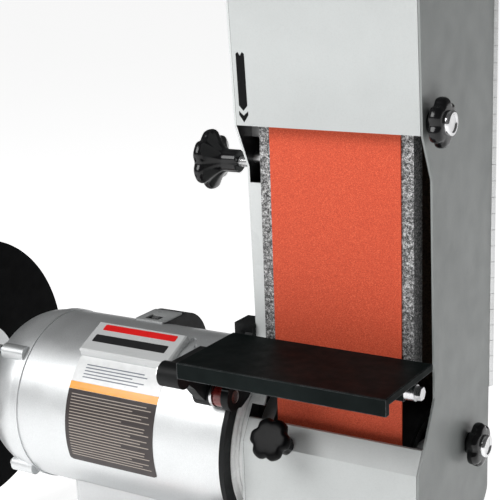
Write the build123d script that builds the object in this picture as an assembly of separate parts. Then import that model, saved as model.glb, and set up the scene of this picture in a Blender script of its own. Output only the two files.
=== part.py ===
from build123d import *
import os
from math import asin, atan2, cos, degrees, hypot, pi, radians, sin

# Bench grinder with a vertical sanding belt: an induction motor on a cast base drives
# a grinding wheel on its left end and a 4 in x 36 in sanding belt on its right end.
# Frame: +X right along the motor axis, +Y to the back, +Z up, millimetres.
# Origin: centre of the four bench bolt holes, on the underside of the base.

# Driving dimensions
AXIS_Z = 178.0                 # motor axis above the bench, at Y = 0
BELT_WIDTH = 101.6
BELT_LENGTH = 914.4
BELT_THICK = 1.3
BELT_X = 190.0                 # middle plane of the belt
DRIVE_OUTER = 45.0             # outside of the belt on the drive pulley
IDLER_OUTER = 31.0             # outside of the belt on the idler pulley
BELT_GAP = 0.3                 # between the belt and each pulley
BELT_FRONT = -DRIVE_OUTER      # front run of the belt
TABLE_TOP = 276.0
WHEEL_RADIUS = 101.6
WHEEL_WIDTH = 25.4
MOTOR_RADIUS = 73.0
SHAFT_RADIUS = 10.0
CLEAR = 0.05                   # running clearance on a radius

# Base
FOOT_SIZE = (270.0, 200.0, 14.0)
FOOT_PADS = (190.0, 150.0)
PAD_RADIUS = 8.9
BENCH_HOLES = (115.0, 80.0)
BENCH_HOLE_RADIUS = 5.5
BOX_HALF = (80.0, 78.0)
BOX_TOP = 84.0
BOX_WALL = 6.0
NECK_HALF = (70.0, 46.0)
SWITCH_Z = 48.0
SWITCH_PIVOT = (-86.0, 65.0)
GLAND_PLACE = (55.0, 40.0)
CORD_BORE = 4.2

# Motor, along X
SHELL_X = (-97.0, 72.0)
SHELL_WALL = 4.0
BELL_FLANGE = 74.0
NECK_RADIUS = 30.0
NECK_END = -205.0
BEARING = (23.5, 14.0)         # outer radius, width
BEARING_X = (-202.0, 112.0)
STATOR_X = (-50.0, 20.0)
RIGHT_BELL_END = 107.0
SPIGOT_RADIUS = 34.0
SPIGOT_END = 130.5
PLATE_X = (-45.5, 41.6)        # raised name plate
PLATE_TILT = 64.7              # degrees above the front horizontal
PLATE_HALF = 16.8
PLATE_RISE = 5.7
CAPACITOR_X = (-35.0, -5.0)

# Grinding wheel end
GUARD_RADIUS = 124.0
GUARD_PLATE = (-215.0, -211.0)
GUARD_RIM_END = -272.0
GUARD_COVER_END = -276.0
GUARD_RIM_WALL = 3.5
MOUTH = (-35.0, 60.0)          # open sector, degrees above the front horizontal
WHEEL_X = (-250.0, -250.0 + WHEEL_WIDTH)
REST_TOP = AXIS_Z
REST_GAP = 2.0
SHIELD_ANGLE = 80.0            # hinge of the eye shield, above the front horizontal
SHIELD_REACH = 146.0
SHIELD_TILT = 30.0

# Belt unit housing, outlines in Y and Z
WALL_X = (117.7, 119.5)
GUARD_X = (119.7, 260.3)
DOOR_X = (260.6, 262.1)
SHEET = 2.0
GUARD_EDGE = (-56.5, 435.3)
BACK_Y = 70.0
HOUSING_TOP = 562.0
HOUSING_BOTTOM = 106.0
OUTLINE = [
    (-64.0, 134.0), (-64.0, 198.0), (-48.7, 222.8), (-36.0, 246.0), (-41.0, 403.0),
    GUARD_EDGE, (-64.2, HOUSING_TOP), (BACK_Y, HOUSING_TOP), (BACK_Y, 134.0),
    (42.0, HOUSING_BOTTOM), (-36.0, HOUSING_BOTTOM),
]
LOWER_GUARD_TOP = 213.5
STRIP_TOP = 391.0              # of the folded strip on the left wall
GUARD_BACK_END = 480.0
BACK_PLATE_END = 118.0
HUB_FLANGE = 70.0
HUB_BAND = 64.2
HUB_BODY = 63.0
HUB_COLLAR = 46.0
RING_RADIUS = 80.0
RING_X = (RIGHT_BELL_END, 111.0)
LOCK_ANGLE = 220.0
LOCK_REACH = 92.0
DUST_PLACE = (BELT_X, 160.0)
DUST_RADIUS = 25.0

# Piano hinge of the door
HINGE = (261.0, 73.8)
HINGE_RADIUS = 2.9
PIN_RADIUS = 1.2
KNUCKLE = 12.5
KNUCKLE_GAP = 0.3
HINGE_Z = 219.0
KNUCKLES = 25
LEAF = 1.2

# Platen and idler
PLATEN_HALF = 59.8
PLATEN_Z = (258.0, 468.0)
IDLER_Y = BELT_FRONT + IDLER_OUTER
SCREW_AT = (-15.0, 400.5)      # tracking screw
TILT_Z = 470.0                 # tracking pivot
TILT_X = 130.0
CAM_AT = (35.0, 470.0)
CAM_RADIUS = 9.0
CAM_THROW = 5.0

# Work table
TABLE_X = (103.0, 264.9)
TABLE_Y = (-121.7, -46.2)
TABLE_THICK = 5.0
APRON = 12.0
TABLE_PIVOT = (-69.5, 234.6)
TABLE_BOSS = (-112.0, 262.2)
BOSS_RADIUS = 9.3
ARM_X = (84.6, 90.0, 98.0)     # end of the boss, sides of the web

# Door and guard knobs
UPPER_LATCH = (-45.0, 443.0)
LOWER_LATCH = (27.0, 189.0)
GUARD_KNOB = (156.0, -62.6, 200.2)
GUARD_KNOB_TILT = 31.7


def idler_height():
    """Height of the idler axis that gives the belt its length along its middle line."""
    mid_drive = DRIVE_OUTER - BELT_THICK / 2
    mid_idler = IDLER_OUTER - BELT_THICK / 2
    offset = mid_drive - mid_idler
    rise = (BELT_LENGTH - pi * (mid_drive + mid_idler)) / 2
    for _ in range(20):
        centres = hypot(rise, offset)
        lean = asin(offset / centres)
        length = 2 * rise + pi * (mid_drive + mid_idler) + 2 * offset * lean
        rise += (BELT_LENGTH - length) / 2
    return AXIS_Z + rise


IDLER_Z = idler_height()


# Shapes that repeat

def rod_x(radius, x0, x1, y=0.0, z=AXIS_Z):
    return extrude(Plane.YZ.offset(x0) * Pos(y, z) * Circle(radius), amount=x1 - x0)


def tube_x(outer, inner, x0, x1, y=0.0, z=AXIS_Z):
    return rod_x(outer, x0, x1, y, z) - rod_x(inner, x0 - 1, x1 + 1, y, z)


def hex_x(radius, x0, x1, y, z):
    return extrude(Plane.YZ.offset(x0) * Pos(y, z) * RegularPolygon(radius, 6), amount=x1 - x0)


def rod_y(radius, y0, y1, x, z):
    return Pos(x, (y0 + y1) / 2, z) * Rot(90, 0, 0) * Cylinder(radius, y1 - y0)


def rod_z(radius, z0, z1, x, y):
    return Pos(x, y, (z0 + z1) / 2) * Cylinder(radius, z1 - z0)


def block(x0, x1, y0, y1, z0, z1):
    size = Box(x1 - x0, y1 - y0, z1 - z0)
    return Pos((x0 + x1) / 2, (y0 + y1) / 2, (z0 + z1) / 2) * size


def slab_x(face, x0, x1):
    """A sketch drawn in Y and Z, thickened from x0 to x1."""
    return extrude(Plane.YZ.offset(x0) * face, amount=x1 - x0, dir=(1, 0, 0))


def poly_x(points, x0, x1):
    return slab_x(Polygon(*points, align=None), x0, x1)


def turned_x(points):
    """A profile in X and radius, turned about the motor axis."""
    return Pos(0, 0, AXIS_Z) * revolve(Polygon(*points, align=None), axis=Axis.X)


def polar(angle, radius):
    """Y and Z at an angle above the front horizontal of the motor axis."""
    return -radius * cos(radians(angle)), AXIS_Z + radius * sin(radians(angle))


def star(radius, lobes, thick):
    """Flat lobed handle, centred, its axis along Z."""
    lobe = 0.25 * radius
    edge = 0.085 * radius
    shape = Circle(0.74 * radius) + PolarLocations(radius - lobe, lobes) * Circle(lobe)
    solid = extrude(shape, amount=thick / 2, both=True)
    return fillet(solid.edges().filter_by(Plane.XY), edge)


def star_knob(radius, lobes, thick, hub_radius, hub_length, bore, cone=0.0):
    """Knob whose star starts at Z = 0 and whose hub runs down to -hub_length."""
    knob = Pos(0, 0, thick / 2) * star(radius, lobes, thick)
    knob += Pos(0, 0, -hub_length / 2 + 1) * Cylinder(hub_radius, hub_length + 2)
    if cone:
        knob += Pos(0, 0, 0.5 - cone / 2) * Cone(hub_radius, 0.62 * radius, cone + 1)
    depth = hub_length + thick / 2
    return knob - Pos(0, 0, thick / 2 - depth / 2 - 0.5) * Cylinder(bore, depth + 1)


def along_x(solid, x, y, z):
    """Turns a solid's +Z to +X and puts its origin at a point."""
    return Pos(x, y, z) * Rot(0, 90, 0) * solid


# Base and switch

def base_casting():
    width, depth, height = FOOT_SIZE
    foot = extrude(RectangleRounded(width, depth, 22), amount=height)
    foot = chamfer(foot.faces().sort_by(Axis.Z)[-1].edges(), 3)
    box = extrude(RectangleRounded(2 * BOX_HALF[0], 2 * BOX_HALF[1], 20), amount=BOX_TOP)
    box = fillet(box.faces().sort_by(Axis.Z)[-1].edges(), 9)
    neck = extrude(RectangleRounded(2 * NECK_HALF[0], 2 * NECK_HALF[1], 16), amount=AXIS_Z - 50)
    body = foot + box + neck
    inner = (2 * (BOX_HALF[0] - BOX_WALL), 2 * (BOX_HALF[1] - BOX_WALL))
    body -= extrude(RectangleRounded(inner[0], inner[1], 14), amount=BOX_TOP - BOX_WALL)
    body -= rod_x(MOTOR_RADIUS + 0.15, -200, 200)
    body -= rod_z(10, 0, AXIS_Z, 0, 0)
    body -= GridLocations(2 * BENCH_HOLES[0], 2 * BENCH_HOLES[1], 2, 2) * Cylinder(
        BENCH_HOLE_RADIUS, 60)
    body -= GridLocations(*FOOT_PADS, 2, 2) * Cylinder(PAD_RADIUS + 0.1, 8)
    body -= block(-26, 26, -90, -BOX_HALF[1] + BOX_WALL + 2, SWITCH_Z - 18, SWITCH_Z + 18)
    body -= rod_y(8.2, 60, 90, GLAND_PLACE[0], GLAND_PLACE[1])
    return body


def base_feet():
    """Rubber pads set into pockets under the foot, flush with its underside."""
    pad = Pos(0, 0, 2) * Cylinder(PAD_RADIUS, 4)
    return Part() + [spot * pad for spot in GridLocations(*FOOT_PADS, 2, 2)]


def switch_plate():
    front = -BOX_HALF[1]
    plate = block(-38, 38, front - 2.5, front, SWITCH_Z - 28, SWITCH_Z + 30)
    plate = fillet(plate.edges().filter_by(Axis.Y), 6)
    plate -= block(-21, 21, front - 10, front + 1, SWITCH_Z - 14, SWITCH_Z + 10)
    y, z = SWITCH_PIVOT
    for side in (-1, 1):
        low, high = sorted((side * 24.0, side * 27.0))
        plate += block(low, high, y - 4, front - 2.5, z - 5, z + 5)
    return plate - rod_x(1.5, -30, 30, y, z)


def switch_body():
    front = -BOX_HALF[1]
    body = block(-25, 25, front, front + 36, SWITCH_Z - 17, SWITCH_Z + 17)
    for side in (-1, 1):
        low, high = sorted((side * 4.0, side * 18.0))
        body += block(low, high, front - 3.5, front + 1, SWITCH_Z - 10, SWITCH_Z + 6)
    return body


def switch_paddle():
    y, z = SWITCH_PIVOT
    face = [(y - 4, z - 2), (y - 7, z - 33), (y - 3.5, z - 34), (y + 0.5, z - 4), (y + 0.5, z)]
    paddle = poly_x(face, -23.5, 23.5) + rod_x(4, -23.5, 23.5, y, z)
    return paddle + rod_x(1.5 - CLEAR, -27, 27, y, z)


def cord_gland():
    x, z = GLAND_PLACE
    back = BOX_HALF[1]
    gland = rod_y(8.0, back - 8, back, x, z) + rod_y(12, back, back + 4, x, z)
    gland += Pos(x, back + 9, z) * Rot(90, 0, 0) * extrude(
        RegularPolygon(10.5, 6), amount=5, both=True)
    gland += rod_y(8.0, back + 14, back + 20, x, z)
    return gland - rod_y(CORD_BORE, back - 20, back + 30, x, z)


# Motor

def motor_shell():
    shell = tube_x(MOTOR_RADIUS, MOTOR_RADIUS - SHELL_WALL, *SHELL_X)
    y, z = polar(82.4, MOTOR_RADIUS)
    shell -= Pos(42, y, z) * Rot(-7.6, 0, 0) * Cylinder(2.6, 20)
    y, z = polar(71, MOTOR_RADIUS)
    shell -= Pos(52, y, z) * Rot(-19, 0, 0) * Rot(0, 0, 30) * Box(1.8, 13, 20)
    shell -= rod_z(9, 90, 120, 0, 0)
    return shell


def bell_lugs(angles=(45, 135, 225, 315)):
    return [polar(angle, 72.6) for angle in angles]


def left_bell():
    start = SHELL_X[0]
    outline = Polyline((start, 0), (start, BELL_FLANGE), (start - 7, BELL_FLANGE), (start - 7, 72))
    dome = ThreePointArc((start - 7, 72), (-138, 61), (-152, 38))
    rest = Polyline((-152, 38), (-160, 32), (-168, NECK_RADIUS), (NECK_END + 3, NECK_RADIUS),
                    (NECK_END, 34), (NECK_END, 46), (GUARD_PLATE[1], 46), (GUARD_PLATE[1], 0),
                    (start, 0))
    bell = Pos(0, 0, AXIS_Z) * revolve(make_face(outline + dome + rest), axis=Axis.X)
    for y, z in bell_lugs():
        bell += rod_x(6.5, start - 26, start - 3, y, z)
    hollow = [(start + 1, 0), (start + 1, 69), (start - 8, 67), (-132, 57), (-146, 36),
              (-156, 20), (-180, 16), (-180, 0)]
    bell -= turned_x(hollow)
    bell -= rod_x(BEARING[0], BEARING_X[0], BEARING_X[0] + BEARING[1])
    return bell - rod_x(SHAFT_RADIUS + 1, -250, -100)


def right_bell():
    end = RIGHT_BELL_END
    outline = [(SHELL_X[1], 0), (SHELL_X[1], MOTOR_RADIUS), (end - 4, MOTOR_RADIUS),
               (end, MOTOR_RADIUS - 4), (end, SPIGOT_RADIUS), (SPIGOT_END, SPIGOT_RADIUS),
               (SPIGOT_END, 0)]
    hollow = [(SHELL_X[1] - 1, 0), (SHELL_X[1] - 1, 69), (end - 12, 69), (end - 7, 64),
              (end - 7, 0)]
    bell = turned_x(outline) - turned_x(hollow)
    bell -= rod_x(BEARING[0], BEARING_X[1], SPIGOT_END + 1)
    return bell - rod_x(SHAFT_RADIUS + 1, 0, 150)


def stator():
    """Laminated core with the two end windings as separate rings."""
    low, high = STATOR_X
    core = tube_x(MOTOR_RADIUS - SHELL_WALL - 0.05, 38.2, low, high)
    windings = [tube_x(63, 44, low - 20, low), tube_x(63, 44, high, high + 20)]
    rings = [fillet(ring.edges().filter_by(GeomType.CIRCLE), 5) for ring in windings]
    return Part() + [core] + rings


def rotor_core():
    low, high = STATOR_X
    core = tube_x(37.6, SHAFT_RADIUS, low, high)
    for x0, x1 in ((low - 6, low), (high, high + 6)):
        core += tube_x(36, 24, x0, x1)
    return core


def rotor_shaft():
    shaft = rod_x(SHAFT_RADIUS, -218, 250) + rod_x(8, -270, -218)
    ends = shaft.faces().filter_by(Axis.X).sort_by(Axis.X)
    return chamfer(ends[0].edges() + ends[-1].edges(), 1)


def race_groove(x0, radius):
    middle = x0 + BEARING[1] / 2
    return Pos(middle, 0, AXIS_Z) * Rot(0, 90, 0) * Torus(radius, 4.05)


def bearing_outer_races():
    races = []
    for x0 in BEARING_X:
        race = tube_x(BEARING[0] - 0.02, 19.4, x0 + 0.01, x0 + BEARING[1] - 0.01)
        races.append(race - race_groove(x0, 16.75))
    return Part() + races


def bearing_inner_races():
    """Inner races with their balls as separate solids."""
    solids = []
    for x0 in BEARING_X:
        race = tube_x(14.1, SHAFT_RADIUS, x0 + 0.01, x0 + BEARING[1] - 0.01)
        solids.append(race - race_groove(x0, 16.75))
        middle = x0 + BEARING[1] / 2
        for step in range(8):
            y, z = polar(45 * step, 16.75)
            solids.append(Pos(middle, y, z) * Sphere(3.95))
    return Part() + solids


def case_screws():
    """Hex heads on the bell lugs and round heads on the wheel guard cover."""
    low = SHELL_X[0] - 26
    screws = [hex_x(3.2, low - 4, low, y, z) for y, z in bell_lugs()]
    for angle in (100, 180, 260):
        y, z = polar(angle, GUARD_RADIUS - 9)
        head = rod_x(5, GUARD_COVER_END - 3, GUARD_COVER_END, y, z)
        screws.append(fillet(head.faces().sort_by(Axis.X)[0].edges(), 1.5))
    return Part() + screws


def capacitor_box():
    """D-shaped box on the back of the motor."""
    x0, x1 = CAPACITOR_X
    top, corner = 249.5, 35.0
    y, z = 45.0, top - corner
    sides = Polyline((y + corner, z), (y + corner, 186), (40, 186), (14, 220), (14, top), (y, top))
    halfway = (y + corner * sin(pi / 4), z + corner * cos(pi / 4))
    outline = make_face(sides + ThreePointArc((y, top), halfway, (y + corner, z)))
    box = slab_x(outline, x0, x1) - rod_x(MOTOR_RADIUS + 0.05, x0 - 1, x1 + 1)
    hollow = rod_x(corner - 4, x0 + 3, x1 - 3, y, z)
    box -= hollow - rod_x(MOTOR_RADIUS + 4, x0, x1)
    return box


def name_plate():
    """Raised rectangular plate on the front shoulder of the motor, blank."""
    length = PLATE_X[1] - PLATE_X[0]
    top = MOTOR_RADIUS + PLATE_RISE
    plate = Pos(0, 0, top - 6) * Box(length, 2 * PLATE_HALF, 12)
    plate = chamfer(plate.faces().sort_by(Axis.Z)[-1].edges(), 1)
    middle = (PLATE_X[0] + PLATE_X[1]) / 2
    plate = Pos(middle, 0, AXIS_Z) * Rot(90 - PLATE_TILT, 0, 0) * plate
    return plate - rod_x(MOTOR_RADIUS + 0.05, -100, 100)


def clamp_ring():
    """Black ring on the right bell, with the ear that carries the lock lever."""
    ring = tube_x(RING_RADIUS, SPIGOT_RADIUS + 0.3, *RING_X)
    y, z = polar(180 - LOCK_ANGLE, LOCK_REACH)
    ear = rod_x(11, 95, RING_X[1], y, z)
    near, far = polar(180 - LOCK_ANGLE, 76), polar(180 - LOCK_ANGLE, LOCK_REACH)
    across = (9 * sin(radians(LOCK_ANGLE)), -9 * cos(radians(LOCK_ANGLE)))
    web = [(near[0] + across[0], near[1] + across[1]), (far[0] + across[0], far[1] + across[1]),
           (far[0] - across[0], far[1] - across[1]), (near[0] - across[0], near[1] - across[1])]
    return ring + ear + poly_x(web, *RING_X) - rod_x(5, 90, 120, y, z)


def arm_lock_lever():
    """Clamp screw with a ball-ended handle; it presses on the side wall."""
    y, z = polar(180 - LOCK_ANGLE, LOCK_REACH)
    screw = rod_x(5 - CLEAR, 90, WALL_X[0] - 0.2, y, z)
    hub = rod_x(9, 81, 94.7, y, z)
    grip = Pos(0, 0, 33) * Cone(5.5, 3.6, 58) + Pos(0, 0, 66) * Sphere(8)
    lean = degrees(atan2(z - AXIS_Z, y)) - 90
    return screw + hub + Pos(87, y, z) * Rot(lean, 0, 0) * grip


# Grinding wheel end

def mouth_cut(x0, x1, start, stop):
    """Wedge that opens the guard at the front."""
    reach = 400
    points = [(0, AXIS_Z)] + [polar(angle, reach) for angle in (start, (start + stop) / 2, stop)]
    return poly_x(points, x0, x1)


def guard_face():
    """Round side of the guard, cut back where the wheel shows."""
    wedge = Polygon((0, AXIS_Z), *[polar(angle, 400) for angle in (MOUTH[0], 12, MOUTH[1])],
                    align=None)
    keep = Pos(0, AXIS_Z) * Circle(70)
    return Pos(0, AXIS_Z) * Circle(GUARD_RADIUS) - (wedge - keep)


def wheel_guard():
    low, high = GUARD_PLATE
    guard = slab_x(guard_face(), low, high)
    rim = tube_x(GUARD_RADIUS, GUARD_RADIUS - GUARD_RIM_WALL, GUARD_RIM_END, low)
    guard += rim - mouth_cut(GUARD_RIM_END - 1, low + 1, *MOUTH)
    y, z = polar(SHIELD_ANGLE, SHIELD_REACH)
    ear = [polar(SHIELD_ANGLE - 7, GUARD_RADIUS - 2), polar(SHIELD_ANGLE + 7, GUARD_RADIUS - 2),
           polar(SHIELD_ANGLE + 3, SHIELD_REACH), polar(SHIELD_ANGLE - 3, SHIELD_REACH)]
    for x0 in (-258.0, -234.0):
        guard += poly_x(ear, x0, x0 + 6) + rod_x(8, x0, x0 + 6, y, z)
    guard -= rod_x(3, -262, -220, y, z)
    return guard - rod_x(16, low - 1, high + 1)


def guard_cover():
    face = guard_face() - Pos(0, AXIS_Z) * Circle(9)
    cover = slab_x(face, GUARD_COVER_END, GUARD_RIM_END)
    return chamfer(cover.faces().sort_by(Axis.X)[0].edges().filter_by(GeomType.CIRCLE)[0], 1)


def grinding_wheel():
    wheel = tube_x(WHEEL_RADIUS, 8, *WHEEL_X)
    return chamfer(wheel.edges().filter_by(GeomType.CIRCLE).group_by(SortBy.RADIUS)[-1], 1)


def wheel_clamp():
    """Two dished flanges and the hexagon nut that hold the wheel."""
    low, high = WHEEL_X
    inner = tube_x(38, 8, high, high + 6.5) - tube_x(30, 14, high - 1, high + 1)
    outer = tube_x(38, 8, low - 6.5, low) - tube_x(30, 14, low - 1, low + 1)
    nut = hex_x(15, low - 17.5, low - 6.5, 0, AXIS_Z) - rod_x(8, low - 30, low)
    return Part() + [inner, outer, nut]


def tool_rest_bracket():
    side = block(GUARD_PLATE[1], -205, -150, -50, 138, 152)
    shelf = block(-258, -205, -150, -112, 138, 152)
    return side + shelf - rod_z(4.2, 130, 160, -236, -131)


def tool_rest():
    edge = -WHEEL_RADIUS - REST_GAP
    rest = block(-283, -189, -160, edge, REST_TOP - 8, REST_TOP)
    rest = fillet(rest.edges().filter_by(Axis.Z), 4)
    stem = block(-252, -220, -158, -110, 152.2, REST_TOP - 8)
    rest += stem
    return rest - block(-241, -231, -156, -114, 150, 166)


def tool_rest_knob():
    knob = Pos(-236, -131, 124) * Rot(180, 0, 0) * star_knob(17, 6, 10, 7, 13.8, 3.9)
    return knob + rod_z(4.0, 118, 164, -236, -131)


def spark_guard():
    """Plate that is set close to the wheel above the mouth of the guard."""
    plate = block(-266, -218, -1.5, 1.5, 105, 127)
    plate = fillet(plate.edges().filter_by(Axis.Y), 3)
    plate -= Pos(-242, 0, 119) * Rot(90, 0, 0) * Cylinder(2.5, 10)
    return Pos(0, 0, AXIS_Z) * Rot(90 - MOUTH[1] + 1.5, 0, 0) * plate


def shield_place(solid):
    y, z = polar(SHIELD_ANGLE, SHIELD_REACH)
    return Pos(0, y, z) * Rot(SHIELD_TILT, 0, 0) * solid


def shield_arm():
    """Hinge barrel, stalk and frame bar of the eye shield."""
    barrel = rod_x(7, -251.7, -234.3, 0, 0) + rod_x(3 - CLEAR, -258, -228, 0, 0)
    stalk = block(-249, -237, -24, 0, -3, 3)
    bar = block(-302, -184, -34, -22, -4.5, 4.5)
    bar = fillet(bar.edges().filter_by(Axis.X), 2)
    return shield_place(barrel + stalk + bar - block(-310, -170, -40, -26, -1.6, 1.6))


def eye_shield():
    pane = block(-304, -182, -122, -26.2, -1.5, 1.5)
    pane = fillet(pane.edges().filter_by(Axis.Z), 8)
    return shield_place(pane)


# Housing of the belt unit

def housing_face():
    face = Polygon(*OUTLINE, align=None)
    corners = face.vertices()
    top = corners.filter_by_position(Axis.Y, HOUSING_TOP - 1, HOUSING_TOP + 1)
    face = fillet(top, 26)
    low = face.vertices().filter_by_position(Axis.Y, HOUSING_BOTTOM - 1, 135)
    return fillet(low, 14)


def housing_shell():
    face = housing_face()
    return slab_x(face - offset(face, amount=-SHEET), *GUARD_X)


def upper_guard():
    shell = housing_shell() & block(100, 280, -100, 100, GUARD_EDGE[1], 700)
    shell -= block(100, 280, 40, 100, 0, GUARD_BACK_END)
    return shell - block(DOOR_X[0] - LEAF - 0.3, 280, 45, 100, 0, 545)


def lower_guard():
    shell = housing_shell() & block(100, 280, -100, 100, 0, LOWER_GUARD_TOP)
    shell -= block(100, 280, 60, 100, BACK_PLATE_END, 400)
    return shell - guard_knob_place(Cylinder(3.8, 12))


def side_wall():
    """Left side of the belt unit, with the folded strip along its front edge."""
    wall = slab_x(housing_face(), *WALL_X)
    knee, foot = OUTLINE[3], OUTLINE[2]
    lean = (knee[0] - OUTLINE[4][0]) / (OUTLINE[4][1] - knee[1])
    top = (knee[0] - (STRIP_TOP - knee[1]) * lean, STRIP_TOP)
    strip = [top, knee, foot, (foot[0] + 1.8, foot[1] - 1.0), (knee[0] + SHEET, knee[1] - 0.6),
             (top[0] + SHEET, STRIP_TOP)]
    wall += poly_x(strip, WALL_X[1], BELT_X - 60.5)
    wall -= rod_x(HUB_COLLAR, 100, 130)
    wall -= rod_x(4.6, 100, 130, *SCREW_AT)
    return wall - rod_x(5.1, 100, 130, *CAM_AT)


def back_plate():
    plate = block(WALL_X[1], 258, BACK_Y - SHEET, BACK_Y, BACK_PLATE_END, GUARD_BACK_END)
    return plate - rod_y(DUST_RADIUS - 2, 0, 100, *DUST_PLACE)


def dust_port():
    x, z = DUST_PLACE
    port = rod_y(33, BACK_Y, BACK_Y + 2.5, x, z) + rod_y(DUST_RADIUS, BACK_Y, BACK_Y + 34, x, z)
    return port - rod_y(DUST_RADIUS - 2, 0, 200, x, z)


def arm_hub():
    """Stepped hub on the side wall; it turns on the spigot of the motor."""
    hub = rod_x(HUB_FLANGE, RING_X[1] + 0.2, RING_X[1] + 1.2)
    hub += rod_x(HUB_BAND, RING_X[1] + 1.2, RING_X[1] + 3.7)
    hub += rod_x(HUB_BODY, RING_X[1] + 3.7, WALL_X[0])
    hub += rod_x(HUB_COLLAR, WALL_X[0], SPIGOT_END - 0.5)
    return hub - rod_x(SPIGOT_RADIUS + CLEAR, 100, 140)


def platen():
    """Channel behind the front run of the belt."""
    low, high = BELT_X - PLATEN_HALF, BELT_X + PLATEN_HALF
    front = BELT_FRONT + BELT_THICK + 0.1
    face = block(low, high, front, front + 3, *PLATEN_Z)
    for x in (low, high - 3):
        face += block(x, x + 3, front + 3, front + 14, *PLATEN_Z)
    return face


def frame_brackets():
    """Steel blocks fixed inside the housing, and the nut of the tracking screw."""
    inside = WALL_X[1]
    pieces = []
    for z in (300.0, 408.0):
        pieces.append(rod_x(4, inside, BELT_X - PLATEN_HALF, -31.5, z))
    y, z = UPPER_LATCH
    upper = block(251, GUARD_X[1], -54.3, y + 9, z - 7.5, z + 8)
    pieces.append(upper - rod_x(5.2, 240, 270, y, z))
    y, z = LOWER_LATCH
    lower = block(246, GUARD_X[1], y - 8, BACK_Y - SHEET, z - 8, z + 8)
    pieces.append(lower - rod_x(6.5, 240, 270, y, z))
    for y0, z0 in ((-35.5, 424), (4.3, 468)):
        pieces.append(block(inside, 126, y0, y0 + 3.2, z0, 500))
    pieces.append(block(inside, 124.6, -20, -8, 406, 414))
    y, z = SCREW_AT
    pieces.append(hex_x(10.5, WALL_X[0] - 8, WALL_X[0], y, z) - rod_x(4.2, 100, 130, y, z))
    return Part() + pieces


def sanding_belt():
    """Closed belt round both pulleys: two arcs and two straight runs."""
    def loop(drive, idler):
        centre_low, centre_high = Vector(0, AXIS_Z), Vector(IDLER_Y, IDLER_Z)
        line = centre_high - centre_low
        lean = asin((drive - idler) / line.length)
        along = atan2(line.Y, line.X)
        sides = []
        for sign in (1, -1):
            angle = along + sign * (pi / 2 - lean)
            normal = Vector(cos(angle), sin(angle))
            sides.append((centre_low + normal * drive, centre_high + normal * idler))
        low = centre_low - line.normalized() * drive
        high = centre_high + line.normalized() * idler
        wires = Line(sides[0][0], sides[0][1])
        wires += ThreePointArc(sides[0][1], high, sides[1][1])
        wires += Line(sides[1][1], sides[1][0])
        wires += ThreePointArc(sides[1][0], low, sides[0][0])
        return make_face(wires)
    band = loop(DRIVE_OUTER, IDLER_OUTER)
    band -= loop(DRIVE_OUTER - BELT_THICK, IDLER_OUTER - BELT_THICK)
    return slab_x(band, BELT_X - BELT_WIDTH / 2, BELT_X + BELT_WIDTH / 2)


def drive_pulley():
    low, high = BELT_X - 52, BELT_X + 52
    pulley = tube_x(38, 31, low, high) + tube_x(18, SHAFT_RADIUS, low + 6, high - 6)
    return pulley + tube_x(32, 17, BELT_X - 6, BELT_X + 6)


def pulley_tyre():
    outer = DRIVE_OUTER - BELT_THICK - BELT_GAP
    return tube_x(outer, 38, BELT_X - 52, BELT_X + 52)


def idler_pulley():
    """Crowned idler with a bore that runs on the axle."""
    rim = IDLER_OUTER - BELT_THICK - BELT_GAP
    low, high = BELT_X - 52, BELT_X + 52
    outline = make_face(Polyline((high, rim - 0.6), (high, 0), (low, 0), (low, rim - 0.6))
                        + ThreePointArc((low, rim - 0.6), (BELT_X, rim), (high, rim - 0.6)))
    pulley = Pos(0, IDLER_Y, IDLER_Z) * revolve(outline, axis=Axis.X)
    for x0, x1 in ((low - 1, low + 8), (high - 8, high + 1)):
        pulley -= tube_x(24, 13, x0, x1, IDLER_Y, IDLER_Z)
    return pulley - rod_x(6 + CLEAR, low - 1, high + 1, IDLER_Y, IDLER_Z)


# Tension and tracking

def tension_slide():
    """Plate that slides up and down inside the side wall and carries the tilt pin."""
    inside = WALL_X[1] + 0.3
    plate = block(inside, 124.8, -32, 4, 430, 500)
    plate += block(inside, 124.8, 3, 46, 446, CAM_AT[1] - CAM_RADIUS + CAM_THROW - 1.2)
    for y0 in (-28.5, -4.0):
        plate += block(124, 135, y0, y0 + 4.5, TILT_Z - 8, TILT_Z + 8)
    plate += rod_y(3 - CLEAR, -26, -2, TILT_X, TILT_Z)
    return plate


def tension_spring():
    """Spring that lifts the slide against the belt."""
    wire = 0.5
    path = Helix(pitch=2.6, height=14.6, radius=2.0)
    section = Plane(origin=path @ 0, z_dir=path % 0) * Circle(wire)
    return Pos(122.2, -14, 414 + wire + 0.1) * sweep(section, path=path, is_frenet=True)


def tension_lever():
    """Outside handle with the cam that pushes the slide down."""
    y, z = CAM_AT
    lever = rod_x(5.1 - CLEAR, 108, 120.5, y, z)
    lever += rod_x(CAM_RADIUS, 120.2, 124.6, y, z + CAM_THROW)
    lever += rod_x(10, 101.5, WALL_X[0] - 0.3, y, z)
    arm = Pos(0, 0, 32) * Cone(5, 3.8, 50) + Pos(0, 0, 62) * Sphere(8.5)
    return lever + Pos(107.5, y, z) * Rot(25, 0, 0) * arm


def tracking_lever():
    """Rocker that the tracking screw pushes, with the idler axle at its top."""
    bar = block(126.6, 133.4, -23.6, -4.4, 390, 533)
    bar = fillet(bar.edges().filter_by(Axis.X), 4)
    bar -= rod_y(3, -40, 10, TILT_X, TILT_Z)
    bar += rod_x(6, 130, 245, IDLER_Y, IDLER_Z)
    bar += rod_x(9, 133, BELT_X - 52.5, IDLER_Y, IDLER_Z)
    return bar + rod_x(9, BELT_X + 52.5, BELT_X + 55, IDLER_Y, IDLER_Z)


def tracking_screw():
    return rod_x(4.0, 70.6, 124.5, *SCREW_AT)


def tracking_knob():
    knob = star_knob(23, 7, 11, 8.7, 20, 4.0, cone=8)
    return along_x(Rot(180, 0, 0) * knob, 76, *SCREW_AT)


# Door and its hinge

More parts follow.
